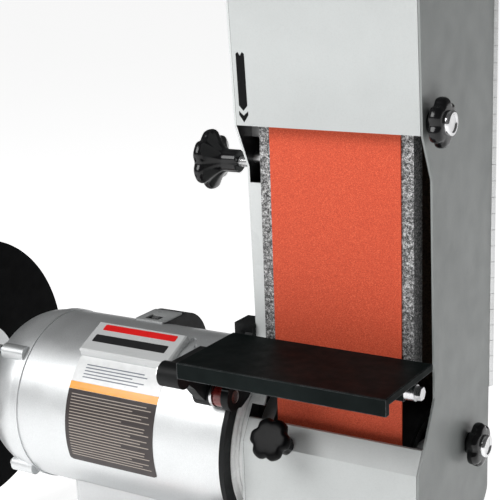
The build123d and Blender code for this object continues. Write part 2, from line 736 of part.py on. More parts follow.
def door():
    panel = slab_x(housing_face(), *DOOR_X) - block(250, 270, 69.5, 90, 0, 700)
    panel -= rod_x(4.4, 250, 270, *UPPER_LATCH)
    return panel - rod_x(4.4, 250, 270, *LOWER_LATCH)


def knuckles(first):
    """Every second knuckle of the hinge, and the height that each one spans."""
    x, y = HINGE
    found = []
    for step in range(first, KNUCKLES, 2):
        low = HINGE_Z + step * KNUCKLE
        high = low + KNUCKLE - KNUCKLE_GAP
        found.append((low, high, rod_z(HINGE_RADIUS, low, high, x, y)))
    return found


def hinge_bore():
    return rod_z(PIN_RADIUS + CLEAR, 0, 700, *HINGE)


def frame_hinge_leaf():
    top = HINGE_Z + KNUCKLES * KNUCKLE - KNUCKLE_GAP
    leaf = block(236, 258.4, BACK_Y, BACK_Y + LEAF, HINGE_Z, top)
    for low, high, barrel in knuckles(0):
        leaf += block(258, HINGE[0], BACK_Y, BACK_Y + LEAF, low, high) + barrel
    return leaf - hinge_bore()


def door_hinge_leaf():
    top = HINGE_Z + KNUCKLES * KNUCKLE - KNUCKLE_GAP
    inner = DOOR_X[0] - LEAF
    leaf = block(inner, DOOR_X[0], 50, 69.5, HINGE_Z, top)
    for low, high, barrel in knuckles(1):
        leaf += block(inner, DOOR_X[0], 69, 72, low, high) + barrel
    return leaf - hinge_bore()


def hinge_pin():
    top = HINGE_Z + KNUCKLES * KNUCKLE
    return rod_z(PIN_RADIUS, HINGE_Z - 1, top + 1, *HINGE)


def latch_knob(place):
    """Star knob on the door with a stub that enters the frame's block."""
    y, z = place
    face = DOOR_X[1]
    knob = star_knob(17, 6, 11, 8, 2.3, 4.0)
    cap = Pos(0, 0, 12.6) * Cylinder(8.5, 3.4)
    cap = chamfer(cap.faces().sort_by(Axis.Z)[-1].edges(), 1)
    body = along_x(knob + cap, face + 2.5, y, z)
    return body + rod_x(4.0, 254, face + 8, y, z)


def upper_latch_knob():
    return latch_knob(UPPER_LATCH)


def lower_latch_knob():
    return latch_knob(LOWER_LATCH)


def guard_knob_place(solid):
    """Turns +Z to the outward normal of the sloping face of the lower guard."""
    return Pos(*GUARD_KNOB) * Rot(90 - GUARD_KNOB_TILT, 0, 0) * solid


def guard_knob():
    knob = Pos(0, 0, 21) * star_knob(16, 6, 10, 7, 20.5, 3.5)
    return guard_knob_place(knob + Pos(0, 0, 9) * Cylinder(3.5, 34))


# Work table

def table():
    x0, x1 = TABLE_X
    y0, y1 = TABLE_Y
    top = block(x0, x1, y0, y1, TABLE_TOP - TABLE_THICK, TABLE_TOP)
    top += block(x0, x1, y0, y0 + 5, TABLE_TOP - APRON, TABLE_TOP)
    top += block(x0, x0 + 5, y0, y1 - 8, TABLE_TOP - APRON, TABLE_TOP)
    for x in (150.0, 217.0):
        top += block(x, x + 4, y0, y1 - 8, TABLE_TOP - 9, TABLE_TOP)
    top += block(240, 248, -57, -46.6, 249, TABLE_TOP)
    return chamfer(top.faces().sort_by(Axis.Z)[-1].edges(), 0.6)


def table_arm():
    """Casting under the left end of the table that carries it on the pivot."""
    y1, z1 = TABLE_BOSS
    y2, z2 = TABLE_PIVOT
    end, side, far_side = ARM_X
    under = TABLE_TOP - TABLE_THICK
    arm = rod_x(BOSS_RADIUS, end, TABLE_X[0], y1, z1)
    arm += rod_x(10, 86, 100, y2, z2)
    web = [(y1, z1 - 8.6), (y1 + 6.5, z1 - 6.7), (y2 - 24, z2 + 11.1), (y2 - 18.5, z2 + 4.8),
           (y2 - 11, z2 - 2.4), (y2, z2 - 8), (y2 + 9, z2 + 3), (y2 + 6, z2 + 14),
           (y2 - 2, under), (y1, under)]
    arm += poly_x(web, side, far_side)
    arm += block(far_side - 2, TABLE_X[0], y1 - 1, y2 + 6, under - 7, under)
    arm -= rod_x(5 + CLEAR, 80, 110, y2, z2)
    arm -= rod_x(8, 80, side + 0.5, y2, z2)
    return arm - rod_x(4, 80, 100, y1, z1)


def table_bolts():
    """Hex bolt in the arm's boss and the cross bolt under the right edge."""
    y, z = TABLE_BOSS
    end = ARM_X[0]
    boss = hex_x(5.5, end - 3.5, end, y, z) + rod_x(4, end, 100, y, z)
    cross = rod_x(6, 248, 255.5, -52, 255) + hex_x(5, 255.5, 260, -52, 255)
    return Part() + [boss, cross]


def table_bracket():
    """Casting on the side wall that holds the pivot bolt of the table."""
    y, z = TABLE_PIVOT
    outline = [(y - 6, z - 8), (y + 8, z - 11), (-40, 232), (-20, 246), (-20, 276), (-42, 276),
               (-56, 258), (y - 9, z + 8)]
    plate = poly_x(outline, RING_X[1] + 0.5, WALL_X[0])
    plate += rod_x(11, RING_X[1] + 0.5, WALL_X[0], y, z)
    plate += block(102, WALL_X[0], -42, -22, 264, 282.5)
    plate -= rod_x(HUB_FLANGE + 1, 100, WALL_X[0])
    return plate - rod_x(5, 90, 130, y, z)


def pivot_bolt():
    """Pivot bolt of the table and its washer."""
    y, z = TABLE_PIVOT
    bolt = rod_x(5, 90, WALL_X[0], y, z) + rod_x(7.5, 86.5, 90, y, z)
    washer = tube_x(9.8, 5, 100.2, 102.4, y, z)
    return Part() + [bolt, washer]


def pivot_spacer():
    y, z = TABLE_PIVOT
    spacer = tube_x(9.2, 5, 102.5, RING_X[1] + 0.4, y, z)
    rims = spacer.edges().filter_by(GeomType.CIRCLE)
    return fillet(rims.group_by(SortBy.RADIUS)[-1], 2)


NODES = [
    base_casting, base_feet, switch_plate, switch_body, switch_paddle, cord_gland, motor_shell,
    left_bell, right_bell, stator, rotor_core, rotor_shaft, bearing_outer_races,
    bearing_inner_races, case_screws, capacitor_box, name_plate, clamp_ring, arm_lock_lever,
    wheel_guard, guard_cover, grinding_wheel, wheel_clamp, tool_rest_bracket, tool_rest,
    tool_rest_knob, spark_guard, shield_arm, eye_shield, upper_guard, lower_guard, side_wall,
    back_plate, dust_port, arm_hub, platen, frame_brackets, sanding_belt, drive_pulley,
    pulley_tyre, idler_pulley, tension_slide, tension_spring, tension_lever, tracking_lever,
    tracking_screw, tracking_knob, door, frame_hinge_leaf, door_hinge_leaf, hinge_pin,
    upper_latch_knob, lower_latch_knob, guard_knob, table, table_arm, table_bolts,
    table_bracket, pivot_bolt, pivot_spacer,
]


def main():
    os.makedirs("parts", exist_ok=True)
    for make in NODES:
        export_step(make(), f"parts/{make.__name__}.step")
    print("idler axis height", round(IDLER_Z, 2), "nodes", len(NODES))


main()
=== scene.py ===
from math import cos, pi, radians, sin, sqrt

import bmesh
import bpy
from mathutils import Matrix, Vector


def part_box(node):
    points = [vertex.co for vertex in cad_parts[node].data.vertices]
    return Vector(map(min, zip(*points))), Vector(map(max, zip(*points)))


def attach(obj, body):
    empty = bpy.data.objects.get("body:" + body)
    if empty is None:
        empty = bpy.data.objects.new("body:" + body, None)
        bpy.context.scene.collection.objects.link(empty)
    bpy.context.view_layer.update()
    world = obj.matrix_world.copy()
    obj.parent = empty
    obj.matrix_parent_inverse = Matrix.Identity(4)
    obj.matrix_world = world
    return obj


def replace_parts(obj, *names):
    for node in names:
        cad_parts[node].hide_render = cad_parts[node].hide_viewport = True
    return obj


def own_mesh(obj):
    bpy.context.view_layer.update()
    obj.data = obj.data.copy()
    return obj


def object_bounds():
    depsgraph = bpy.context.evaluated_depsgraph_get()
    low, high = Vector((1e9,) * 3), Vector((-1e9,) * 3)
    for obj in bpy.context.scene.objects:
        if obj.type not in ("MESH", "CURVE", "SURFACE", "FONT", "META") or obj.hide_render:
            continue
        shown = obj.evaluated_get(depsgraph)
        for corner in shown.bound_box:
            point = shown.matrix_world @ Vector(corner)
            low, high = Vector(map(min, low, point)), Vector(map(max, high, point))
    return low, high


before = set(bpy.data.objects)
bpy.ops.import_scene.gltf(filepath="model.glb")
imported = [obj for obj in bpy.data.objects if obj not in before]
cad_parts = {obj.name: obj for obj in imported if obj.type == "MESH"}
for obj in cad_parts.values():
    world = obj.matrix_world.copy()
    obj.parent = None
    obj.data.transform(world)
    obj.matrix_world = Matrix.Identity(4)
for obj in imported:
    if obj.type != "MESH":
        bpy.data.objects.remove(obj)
CAD_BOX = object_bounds()

MM = 0.001
RIGHT, UP = Vector((1, 0, 0)), Vector((0, 0, 1))
MOTOR_AXIS = Vector((0.0, 0.0, 178.0 * MM))
UPPER_BEND = (0.0, 0.5)             # Y and Z that each guard bends round
LOWER_BEND = (0.0, 0.178)
WALL_FOLD_X = 120.3 * MM            # the left wall's folded strip is to the right of this

VINYL = 0.12 * MM                   # thickness of labels and stickers
LABEL_RADIUS = 73.15 * MM
LABEL_HEAD = (33.6, 51.0)           # degrees above the front horizontal
LABEL_BAND = (28.6, 33.5)
LABEL_BODY = (-20.0, 28.5)
LABEL_RULES = (-16.0, 26.5)
LABEL_LINES = (36.0, 46.5)
RULE_OFFSET = 0.14 * MM             # of the rules, above the label's own radius
GUARD_LIP = Vector((0, -56.5, 435.3)) * MM      # sloping front of the upper guard
GUARD_TOP = Vector((0, -64.2, 562.0)) * MM
STICKER_GAP = 0.02 * MM
BADGE_TILT = 64.7
BADGE_RADIUS = 78.75 * MM

TRACKING_KNOB_X = 76 * MM
LATCH_GAP = 2.5 * MM                # between the door and a latch knob
LATCH_STUD_X = 254                  # in millimetres
GUARD_KNOB_TILT = 31.7
GUARD_STUD_FOOT = Vector((156, -62.6, 200.2)) * MM
REST_KNOB_FOOT = Vector((-236, -131, 124)) * MM

FLOOR_DROP = 0.0005
FLOOR_HALF = 25.0
SKY_LIGHT = 0.10
LAMPS = (                           # name, place, aim, size and watts
    ("key", (-0.6, -1.45, 1.5), (0.05, 0, 0.3), (1.3, 1.0), 30),
    ("low_fill", (-0.5, -1.7, 0.3), (0, 0, 0.15), (1.2, 0.4), 1.2),
    ("top", (-0.2, 0.6, 1.9), (0, 0, 0.2), (1.2, 1.0), 0.5),
)
CAMERA_PLACE = (0.58885, -0.80517, 0.57314)
CAMERA_AZIMUTH, CAMERA_PITCH, CAMERA_ROLL = 31.67, 14.55, -2.05
CAMERA_SENSOR, CAMERA_LENS = 36.0, 90.58


# Small helpers

def low(node):
    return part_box(node)[0]


def high(node):
    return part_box(node)[1]


def centre(node):
    return (low(node) + high(node)) / 2


def on_motor(angle, radius, x):
    """Point round the motor axis, at an angle in degrees above the front horizontal."""
    turn = radians(angle)
    return Vector((x, -radius * cos(turn), MOTOR_AXIS.z + radius * sin(turn)))


def make_object(name, mesh, material):
    piece = bpy.data.objects.new(name, mesh)
    bpy.context.scene.collection.objects.link(piece)
    mesh.materials.append(material)
    return piece


def mesh_from(bm, name, smooth=35.0):
    """Closes a bmesh into a mesh with smooth faces and sharp creases."""
    bmesh.ops.remove_doubles(bm, verts=bm.verts, dist=1e-7)
    bmesh.ops.recalc_face_normals(bm, faces=bm.faces)
    limit = radians(smooth)
    for face in bm.faces:
        face.smooth = True
    for edge in bm.edges:
        if len(edge.link_faces) == 2:
            edge.smooth = edge.calc_face_angle(0.0) < limit
    mesh = bpy.data.meshes.new(name)
    bm.to_mesh(mesh)
    bm.free()
    return mesh


def place(piece, body):
    """The piece moves with a body."""
    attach(piece, body)
    return piece


# Node building for materials

class Shader:
    """A Principled material with a few short calls for its node graph."""

    def __init__(self, name, color=(0.8, 0.8, 0.8), rough=0.5, metal=0.0, **inputs):
        self.material = bpy.data.materials.new(name)
        self.material.use_nodes = True
        self.tree = self.material.node_tree
        self.main = self.tree.nodes["Principled BSDF"]
        self.main.inputs["Base Color"].default_value = (*color, 1)
        self.main.inputs["Roughness"].default_value = rough
        self.main.inputs["Metallic"].default_value = metal
        for key, value in inputs.items():
            self.main.inputs[key.replace("_", " ")].default_value = value
        self.coords = self.add("ShaderNodeTexCoord").outputs["Object"]

    def add(self, kind, **settings):
        node = self.tree.nodes.new(kind)
        for key, value in settings.items():
            setattr(node, key, value)
        return node

    def link(self, source, target):
        self.tree.links.new(source, target)

    def scaled(self, stretch=(1, 1, 1)):
        node = self.add("ShaderNodeMapping")
        node.inputs["Scale"].default_value = stretch
        self.link(self.coords, node.inputs["Vector"])
        return node.outputs["Vector"]

    def noise(self, scale, detail=3.0, rough=0.5, stretch=(1, 1, 1)):
        node = self.add("ShaderNodeTexNoise")
        node.inputs["Scale"].default_value = scale
        node.inputs["Detail"].default_value = detail
        node.inputs["Roughness"].default_value = rough
        self.link(self.scaled(stretch), node.inputs["Vector"])
        return node.outputs["Fac"]

    def cells(self, scale, output="Distance"):
        node = self.add("ShaderNodeTexVoronoi")
        node.inputs["Scale"].default_value = scale
        self.link(self.scaled(), node.inputs["Vector"])
        return node.outputs[output]

    def cell_greys(self, scale):
        """A random grey for each cell."""
        color = self.cells(scale, "Color")
        grey = self.add("ShaderNodeRGBToBW")
        self.link(color, grey.inputs["Color"])
        return grey.outputs["Val"]

    def ramp(self, factor, *stops):
        """Colour ramp: each stop is a place and a colour or a grey."""
        node = self.add("ShaderNodeValToRGB")
        elements = node.color_ramp.elements
        while len(elements) < len(stops):
            elements.new(0.5)
        for element, (where, color) in zip(elements, stops):
            element.position = where
            if not isinstance(color, tuple):
                color = (color, color, color)
            element.color = (*color, 1)
        self.link(factor, node.inputs["Fac"])
        return node.outputs["Color"]

    def range(self, factor, low_to, high_to, low_from=0.3, high_from=0.7):
        node = self.add("ShaderNodeMapRange")
        node.inputs["From Min"].default_value = low_from
        node.inputs["From Max"].default_value = high_from
        node.inputs["To Min"].default_value = low_to
        node.inputs["To Max"].default_value = high_to
        self.link(factor, node.inputs["Value"])
        return node.outputs["Result"]

    def math(self, operation, a, b):
        node = self.add("ShaderNodeMath", operation=operation)
        for place_in, value in zip(node.inputs, (a, b)):
            if isinstance(value, (int, float)):
                place_in.default_value = value
            else:
                self.link(value, place_in)
        return node.outputs["Value"]

    def mix(self, factor, a, b, blend="MIX"):
        node = self.add("ShaderNodeMix", data_type="RGBA", blend_type=blend)
        slots = [node.inputs[0], node.inputs[6], node.inputs[7]]
        for place_in, value in zip(slots, (factor, a, b)):
            if isinstance(value, tuple):
                place_in.default_value = (*value, 1)
            elif isinstance(value, (int, float)):
                place_in.default_value = value
            else:
                self.link(value, place_in)
        return node.outputs[2]

    def axis(self, name):
        node = self.add("ShaderNodeSeparateXYZ")
        self.link(self.coords, node.inputs["Vector"])
        return node.outputs[name]

    def normal(self, name):
        """One component of the face's normal, in the object's own space."""
        turned = self.add("ShaderNodeVectorTransform", vector_type="NORMAL",
                          convert_from="WORLD", convert_to="OBJECT")
        self.link(self.add("ShaderNodeNewGeometry").outputs["True Normal"],
                  turned.inputs["Vector"])
        node = self.add("ShaderNodeSeparateXYZ")
        self.link(turned.outputs["Vector"], node.inputs["Vector"])
        return node.outputs[name]

    def edges(self, width):
        """1 on convex and concave edges within a width, 0 on flat faces."""
        bevel = self.add("ShaderNodeBevel", samples=6)
        bevel.inputs["Radius"].default_value = width
        surface = self.add("ShaderNodeNewGeometry")
        dot = self.add("ShaderNodeVectorMath", operation="DOT_PRODUCT")
        self.link(bevel.outputs["Normal"], dot.inputs[0])
        self.link(surface.outputs["Normal"], dot.inputs[1])
        turned = self.math("SUBTRACT", 1.0, dot.outputs["Value"])
        return self.range(turned, 0.0, 1.0, 0.02, 0.25)

    def color(self, source):
        self.link(source, self.main.inputs["Base Color"])

    def rough(self, source):
        self.link(source, self.main.inputs["Roughness"])

    def bump(self, height, distance, strength=1.0, below=None):
        node = self.add("ShaderNodeBump")
        node.inputs["Distance"].default_value = distance
        node.inputs["Strength"].default_value = strength
        self.link(height, node.inputs["Height"])
        if below is not None:
            self.link(below, node.inputs["Normal"])
        self.link(node.outputs["Normal"], self.main.inputs["Normal"])
        return node.outputs["Normal"]


# Materials

def inner_face_of_wall(s):
    """1 on the inner face of the left wall, 0 on its outside and on its folded strip."""
    faces_in = s.math("GREATER_THAN", s.normal("X"), 0.5)
    return s.math("MULTIPLY", faces_in, s.math("LESS_THAN", s.axis("X"), WALL_FOLD_X))


def inner_face_of_back(s):
    """1 on the face of the back plate that looks forward."""
    return s.math("LESS_THAN", s.normal("Y"), -0.5)


def inner_face_around(y, z):
    """Mask for a sheet shell that bends round a point in Y and Z."""
    def mask(s):
        out_y = s.math("MULTIPLY", s.math("SUBTRACT", s.axis("Y"), y), s.normal("Y"))
        out_z = s.math("MULTIPLY", s.math("SUBTRACT", s.axis("Z"), z), s.normal("Z"))
        return s.math("LESS_THAN", s.math("ADD", out_y, out_z), -1 * MM)
    return mask


def textured_paint(name, color, rough=0.42, grain=900.0, depth=0.00012, inside=None):
    """Powder coat with a fine orange-peel grain and faint handling marks.

    inside(shader) is a mask of the inner faces that are near-black instead: black paint inside
    plus painted shade of the enclosed housing."""
    s = Shader(name, color, rough)
    tone = s.noise(14, 4)
    fine = s.noise(grain, 3, 0.6)
    dark = tuple(c * 0.93 for c in color)
    light = tuple(min(1.0, c * 1.04) for c in color)
    base = s.mix(s.range(tone, 0, 1), dark, light)
    speck = s.range(fine, 0.955, 1.03, 0.3, 0.7)
    paint = s.mix(1.0, base, s.ramp(speck, (0.0, 0.0), (1.0, 1.0)), "MULTIPLY")
    if inside:
        # inner faces near-black: black paint inside plus painted shade of the enclosed housing
        paint = s.mix(inside(s), paint, (0.005, 0.005, 0.0055))
    s.color(paint)
    s.rough(s.range(s.noise(60, 3), rough - 0.05, rough + 0.08))
    wave = s.noise(grain / 4, 2)
    first = s.bump(fine, depth, 0.55)
    s.bump(wave, depth * 2, 0.25, first)
    return s.material


def silver_paint(name, color, rough=0.3):
    """Silver metallic paint: fine flake sparkle over a soft gloss."""
    s = Shader(name, color, rough, 0.8, Coat_Weight=0.2, Coat_Roughness=0.2)
    flake = s.cell_greys(2600)
    dark = tuple(c * 0.9 for c in color)
    light = tuple(min(1.0, c * 1.08) for c in color)
    s.color(s.mix(flake, dark, light))
    s.rough(s.range(s.noise(40, 4), rough - 0.04, rough + 0.07))
    s.bump(s.noise(420, 3), 0.00008, 0.35)
    return s.material


def black_cast(name, color=(0.004, 0.0045, 0.0048), rough=0.42, depth=0.00025, edge_wear_and_highlight=0.0,
               shine=0.16):
    """Satin black paint over a sand casting, with optional lighter edges: partly worn paint,
    partly a painted edge highlight.
    """
    s = Shader(name, color, rough, 0.0, Specular_IOR_Level=shine)
    tone = s.noise(22, 5, 0.6)
    light = tuple(c * 1.7 + 0.002 for c in color)
    base = s.mix(s.range(tone, 0, 1), color, light)
    if edge_wear_and_highlight:
        # lighter edges: partly worn paint, partly a painted highlight along the edges
        edge = s.edges(0.0011)
        broken = s.range(s.noise(160, 4), 0.35, 1.0, 0.35, 0.6)
        mask = s.math("MULTIPLY", edge, broken)
        mask = s.math("MULTIPLY", mask, edge_wear_and_highlight)
        base = s.mix(mask, base, (0.32, 0.33, 0.34))
    s.color(base)
    s.rough(s.range(s.noise(90, 4), rough - 0.07, rough + 0.1))
    first = s.bump(s.noise(620, 4, 0.6), depth, 0.5)
    s.bump(s.noise(120, 3), depth * 2, 0.2, first)
    return s.material


def glossy_plastic(name, color, rough=0.13, shine=0.5, coat=0.35):
    """Moulded gloss plastic with faint flow marks and light scuffs."""
    s = Shader(name, color, rough, 0.0, Coat_Weight=coat, Coat_Roughness=0.06,
               Specular_IOR_Level=shine)
    tone = s.noise(60, 3)
    s.color(s.mix(s.range(tone, 0, 1), color, tuple(c * 1.5 + 0.003 for c in color)))
    scuff = s.range(s.noise(260, 5, 0.7, stretch=(1, 1, 0.25)), 0.0, 0.12, 0.55, 0.8)
    s.rough(s.math("ADD", scuff, rough))
    s.bump(s.noise(240, 2), 0.00008, 0.2)
    return s.material


def matte_plastic(name, color, rough=0.5, shine=0.5):
    """Spark-textured moulded plastic."""
    s = Shader(name, color, rough, Specular_IOR_Level=shine)
    tone = s.noise(30, 4)
    s.color(s.mix(s.range(tone, 0, 1), color, tuple(c * 1.35 + 0.004 for c in color)))
    s.rough(s.range(s.noise(140, 3), rough - 0.06, rough + 0.08))
    s.bump(s.noise(1500, 3, 0.65), 0.0001, 0.5)
    return s.material


def turned_steel(name, color=(0.72, 0.72, 0.73), rough=0.24, along="X"):
    """Turned or drawn steel with fine lay lines across one axis."""
    s = Shader(name, color, rough, 1.0)
    stretch = {"X": (60, 1, 1), "Y": (1, 60, 1), "Z": (1, 1, 60)}[along]
    lines = s.noise(60, 3, 0.6, stretch=stretch)
    stain = s.noise(35, 5)
    dark = tuple(c * 0.72 for c in color)
    base = s.mix(s.range(lines, 0, 1), dark, color)
    s.color(s.mix(s.range(stain, 0.0, 0.35, 0.5, 0.8), base, (0.42, 0.41, 0.4)))
    s.rough(s.range(lines, rough - 0.06, rough + 0.12))
    s.bump(lines, 0.00004, 0.3)
    return s.material


def zinc_plate(name, color=(0.6, 0.6, 0.6)):
    """Zinc plate with a soft spangle."""
    s = Shader(name, color, 0.34, 1.0)
    spangle = s.cell_greys(240)
    s.color(s.mix(spangle, tuple(c * 0.8 for c in color), color))
    s.rough(s.range(s.noise(180, 4), 0.26, 0.45))
    s.bump(s.noise(500, 3), 0.00005, 0.3)
    return s.material


def speckled_graphite():
    """Platen surface: dark graphite cloth broken by bright metal specks."""
    s = Shader("speckled_platen", (0.4, 0.4, 0.4), 0.42, 0.35)
    coarse = s.noise(560, 5, 0.75)
    fine = s.noise(1500, 3, 0.7)
    both = s.math("ADD", s.math("MULTIPLY", coarse, 0.62), s.math("MULTIPLY", fine, 0.38))
    s.color(s.ramp(both, (0.40, 0.012), (0.47, 0.08), (0.53, 0.28), (0.60, 0.72)))
    s.rough(s.range(coarse, 0.3, 0.6))
    s.bump(both, 0.0003, 0.8)
    return s.material


def inside_loop(s):
    """1 on the face of the belt that touches the pulleys, 0 on its abrasive face."""
    drive, idler = centre("drive_pulley"), centre("idler_pulley")
    rise = idler.z - drive.z
    height = s.range(s.axis("Z"), 0.0, 1.0, drive.z, idler.z)
    near_y = s.math("MULTIPLY", height, idler.y - drive.y)
    near_z = s.math("ADD", s.math("MULTIPLY", height, rise), drive.z)
    out_y = s.math("SUBTRACT", s.axis("Y"), near_y)
    out_z = s.math("SUBTRACT", s.axis("Z"), near_z)
    facing = s.math("ADD", s.math("MULTIPLY", out_y, s.normal("Y")),
                    s.math("MULTIPLY", out_z, s.normal("Z")))
    return s.math("LESS_THAN", facing, 0.0)


def abrasive_cloth():
    """Coated abrasive: orange-red grain in resin, with darker and lighter specks."""
    s = Shader("abrasive_cloth", (0.75, 0.17, 0.075), 0.72, 0.0, Specular_IOR_Level=0.35)
    grain = s.noise(2300, 4, 0.75)
    grit = s.cell_greys(1500)
    streak = s.noise(34, 4, 0.55, stretch=(3.2, 1, 0.35))
    base = s.ramp(grain, (0.30, (0.34, 0.028, 0.012)), (0.46, (0.62, 0.072, 0.028)),
                  (0.56, (0.76, 0.115, 0.048)), (0.72, (0.92, 0.29, 0.16)))
    base = s.mix(s.range(grit, 0.0, 0.35, 0.55, 0.95), base, (0.42, 0.05, 0.02))
    base = s.mix(s.range(streak, 0.0, 0.22), base, (0.58, 0.07, 0.03))
    weave = s.cells(700)
    backing = s.mix(s.range(weave, 0.0, 1.0, 0.1, 0.7), (0.05, 0.03, 0.02), (0.11, 0.07, 0.045))
    s.color(s.mix(inside_loop(s), base, backing))
    s.rough(s.range(grain, 0.6, 0.85))
    s.bump(grain, 0.0003, 0.75)
    return s.material


def rubber(name, color=(0.022, 0.022, 0.022)):
    """Dull rubber, lighter in patches."""
    s = Shader(name, color, 0.7)
    s.color(s.mix(s.range(s.noise(50, 4), 0, 1), color, tuple(c * 1.8 for c in color)))
    s.rough(s.range(s.noise(130, 3), 0.6, 0.8))
    s.bump(s.noise(900, 3), 0.00015, 0.4)
    return s.material


def stone():
    """Vitrified grey abrasive wheel: packed grains with open pores."""
    s = Shader("vitrified_stone", (0.3, 0.31, 0.32), 0.85)
    grains = s.cell_greys(1100)
    pores = s.noise(900, 4, 0.7)
    base = s.ramp(grains, (0.1, (0.13, 0.135, 0.145)), (0.6, (0.3, 0.31, 0.33)),
                  (0.95, (0.55, 0.55, 0.56)))
    s.color(s.mix(s.range(pores, 0.8, 0.0, 0.35, 0.5), base, (0.05, 0.05, 0.055)))
    s.bump(pores, 0.0005, 0.9)
    return s.material


def clear_sheet():
    """Clear polycarbonate with light scratches."""
    s = Shader("clear_sheet", (0.93, 0.96, 0.97), 0.04, 0.0, Transmission_Weight=0.95, IOR=1.5)
    scratch = s.noise(70, 5, 0.7, stretch=(1, 14, 1))
    s.rough(s.range(scratch, 0.02, 0.16, 0.5, 0.8))
    s.bump(scratch, 0.00003, 0.25)
    return s.material


def printed(name, color, rough=0.32, shine=0.5, coat=0.3):
    """Ink on vinyl: faint mottling and a thin clear coat."""
    s = Shader(name, color, rough, 0.0, Coat_Weight=coat, Coat_Roughness=0.12,
               Specular_IOR_Level=shine)
    dark = tuple(c * 0.9 for c in color)
    s.color(s.mix(s.range(s.noise(180, 4), 0, 1), dark, color))
    s.rough(s.range(s.noise(90, 3), rough - 0.05, rough + 0.1))
    s.bump(s.noise(700, 2), 0.00003, 0.25)
    return s.material


def laminations():
    """Stacked electrical steel: thin dark lines along the motor axis."""
    s = Shader("laminated_steel", (0.35, 0.35, 0.36), 0.4, 0.9)
    wave = s.add("ShaderNodeTexWave", wave_type="BANDS", bands_direction="X")
    wave.inputs["Scale"].default_value = 320
    s.link(s.coords, wave.inputs["Vector"])
    s.color(s.ramp(wave.outputs["Fac"], (0.2, 0.08), (0.7, 0.45)))
    s.bump(wave.outputs["Fac"], 0.0001, 0.5)
    return s.material


def red_nylon():
    """Dark red moulded nylon under a light gloss."""
    s = Shader("red_nylon", (0.17, 0.012, 0.01), 0.3, 0.0, Coat_Weight=0.3)
    s.color(s.mix(s.range(s.noise(70, 3), 0, 1), (0.12, 0.008, 0.007), (0.24, 0.02, 0.015)))
    s.rough(s.range(s.noise(150, 3), 0.24, 0.4))
    s.bump(s.noise(500, 3), 0.00006, 0.3)
    return s.material


SHEET_GREY = (0.52, 0.54, 0.535)
LOOKS = {
    "upper": textured_paint("upper_coat", SHEET_GREY, inside=inner_face_around(*UPPER_BEND)),
    "lower": textured_paint("lower_coat", SHEET_GREY, inside=inner_face_around(*LOWER_BEND)),
    # same grey paint as the guards, made darker: painted shade for the door, which faces away from
    # the key lamp
    "door": textured_paint("door_shaded_coat", (0.25, 0.265, 0.26), 0.36),
    # paler than the sheet grey: painted highlight on the brightly lit folded strip of the left
    # wall
    "strip": textured_paint("strip_lit_coat", (0.64, 0.66, 0.655), 0.3, inside=inner_face_of_wall),
    "back": textured_paint("back_coat", SHEET_GREY, inside=inner_face_of_back),
    "silver": silver_paint("motor_silver", (0.70, 0.715, 0.72), 0.41),
    "base": textured_paint("base_coat", (0.62, 0.63, 0.635), 0.4, 500, 0.0002),
    # near white, paler than the sheet grey: painted highlight on the brightly lit light-grey arm
    # hub
    "hub": textured_paint("hub_lit_coat", (0.84, 0.845, 0.84), 0.25),
    "plate": textured_paint("plate_coat", (0.60, 0.61, 0.61), 0.3, 1200, 0.00006),
    "black": black_cast("black_cast"),
    "guard_black": black_cast("guard_black", (0.0015, 0.0017, 0.002), 0.5, shine=0.03),
    # the green-blue tint in the table's black is painted light: it cancels the red glow the belt
    # throws on it
    "table": black_cast("table_paint", (0.0045, 0.0066, 0.0065), 0.5, 0.00012, edge_wear_and_highlight=0.55,
                        shine=0.03),
    "knob": glossy_plastic("knob_gloss", (0.003, 0.003, 0.0035), 0.2, 0.3, 0.12),
    "dull_knob": glossy_plastic("knob_satin", (0.002, 0.002, 0.0023), 0.3, 0.08, 0.0),
    "chrome": turned_steel("cap_chrome", (0.86, 0.86, 0.87), 0.14),
    "capacitor": matte_plastic("capacitor_black", (0.003, 0.003, 0.0035), 0.4, 0.12),
    "red_switch": glossy_plastic("switch_red", (0.5, 0.012, 0.012), 0.22),
    "plastic": matte_plastic("black_plastic", (0.02, 0.02, 0.021)),
    "steel": turned_steel("bright_steel"),
    "upright_steel": turned_steel("upright_steel", along="Z"),
    "hinge": turned_steel("hinge_steel", (0.80, 0.81, 0.81), 0.3, "Z"),
    "zinc": zinc_plate("zinc_plate"),
    "platen": speckled_graphite(),
    "belt": abrasive_cloth(),
    "rubber": rubber("foot_rubber"),
    "tyre": rubber("tyre_rubber", (0.05, 0.05, 0.05)),
    "aluminium": turned_steel("turned_aluminium", (0.78, 0.79, 0.8), 0.3),
    "laminations": laminations(),
    "stone": stone(),
    "clear": clear_sheet(),
    "spacer": red_nylon(),
}
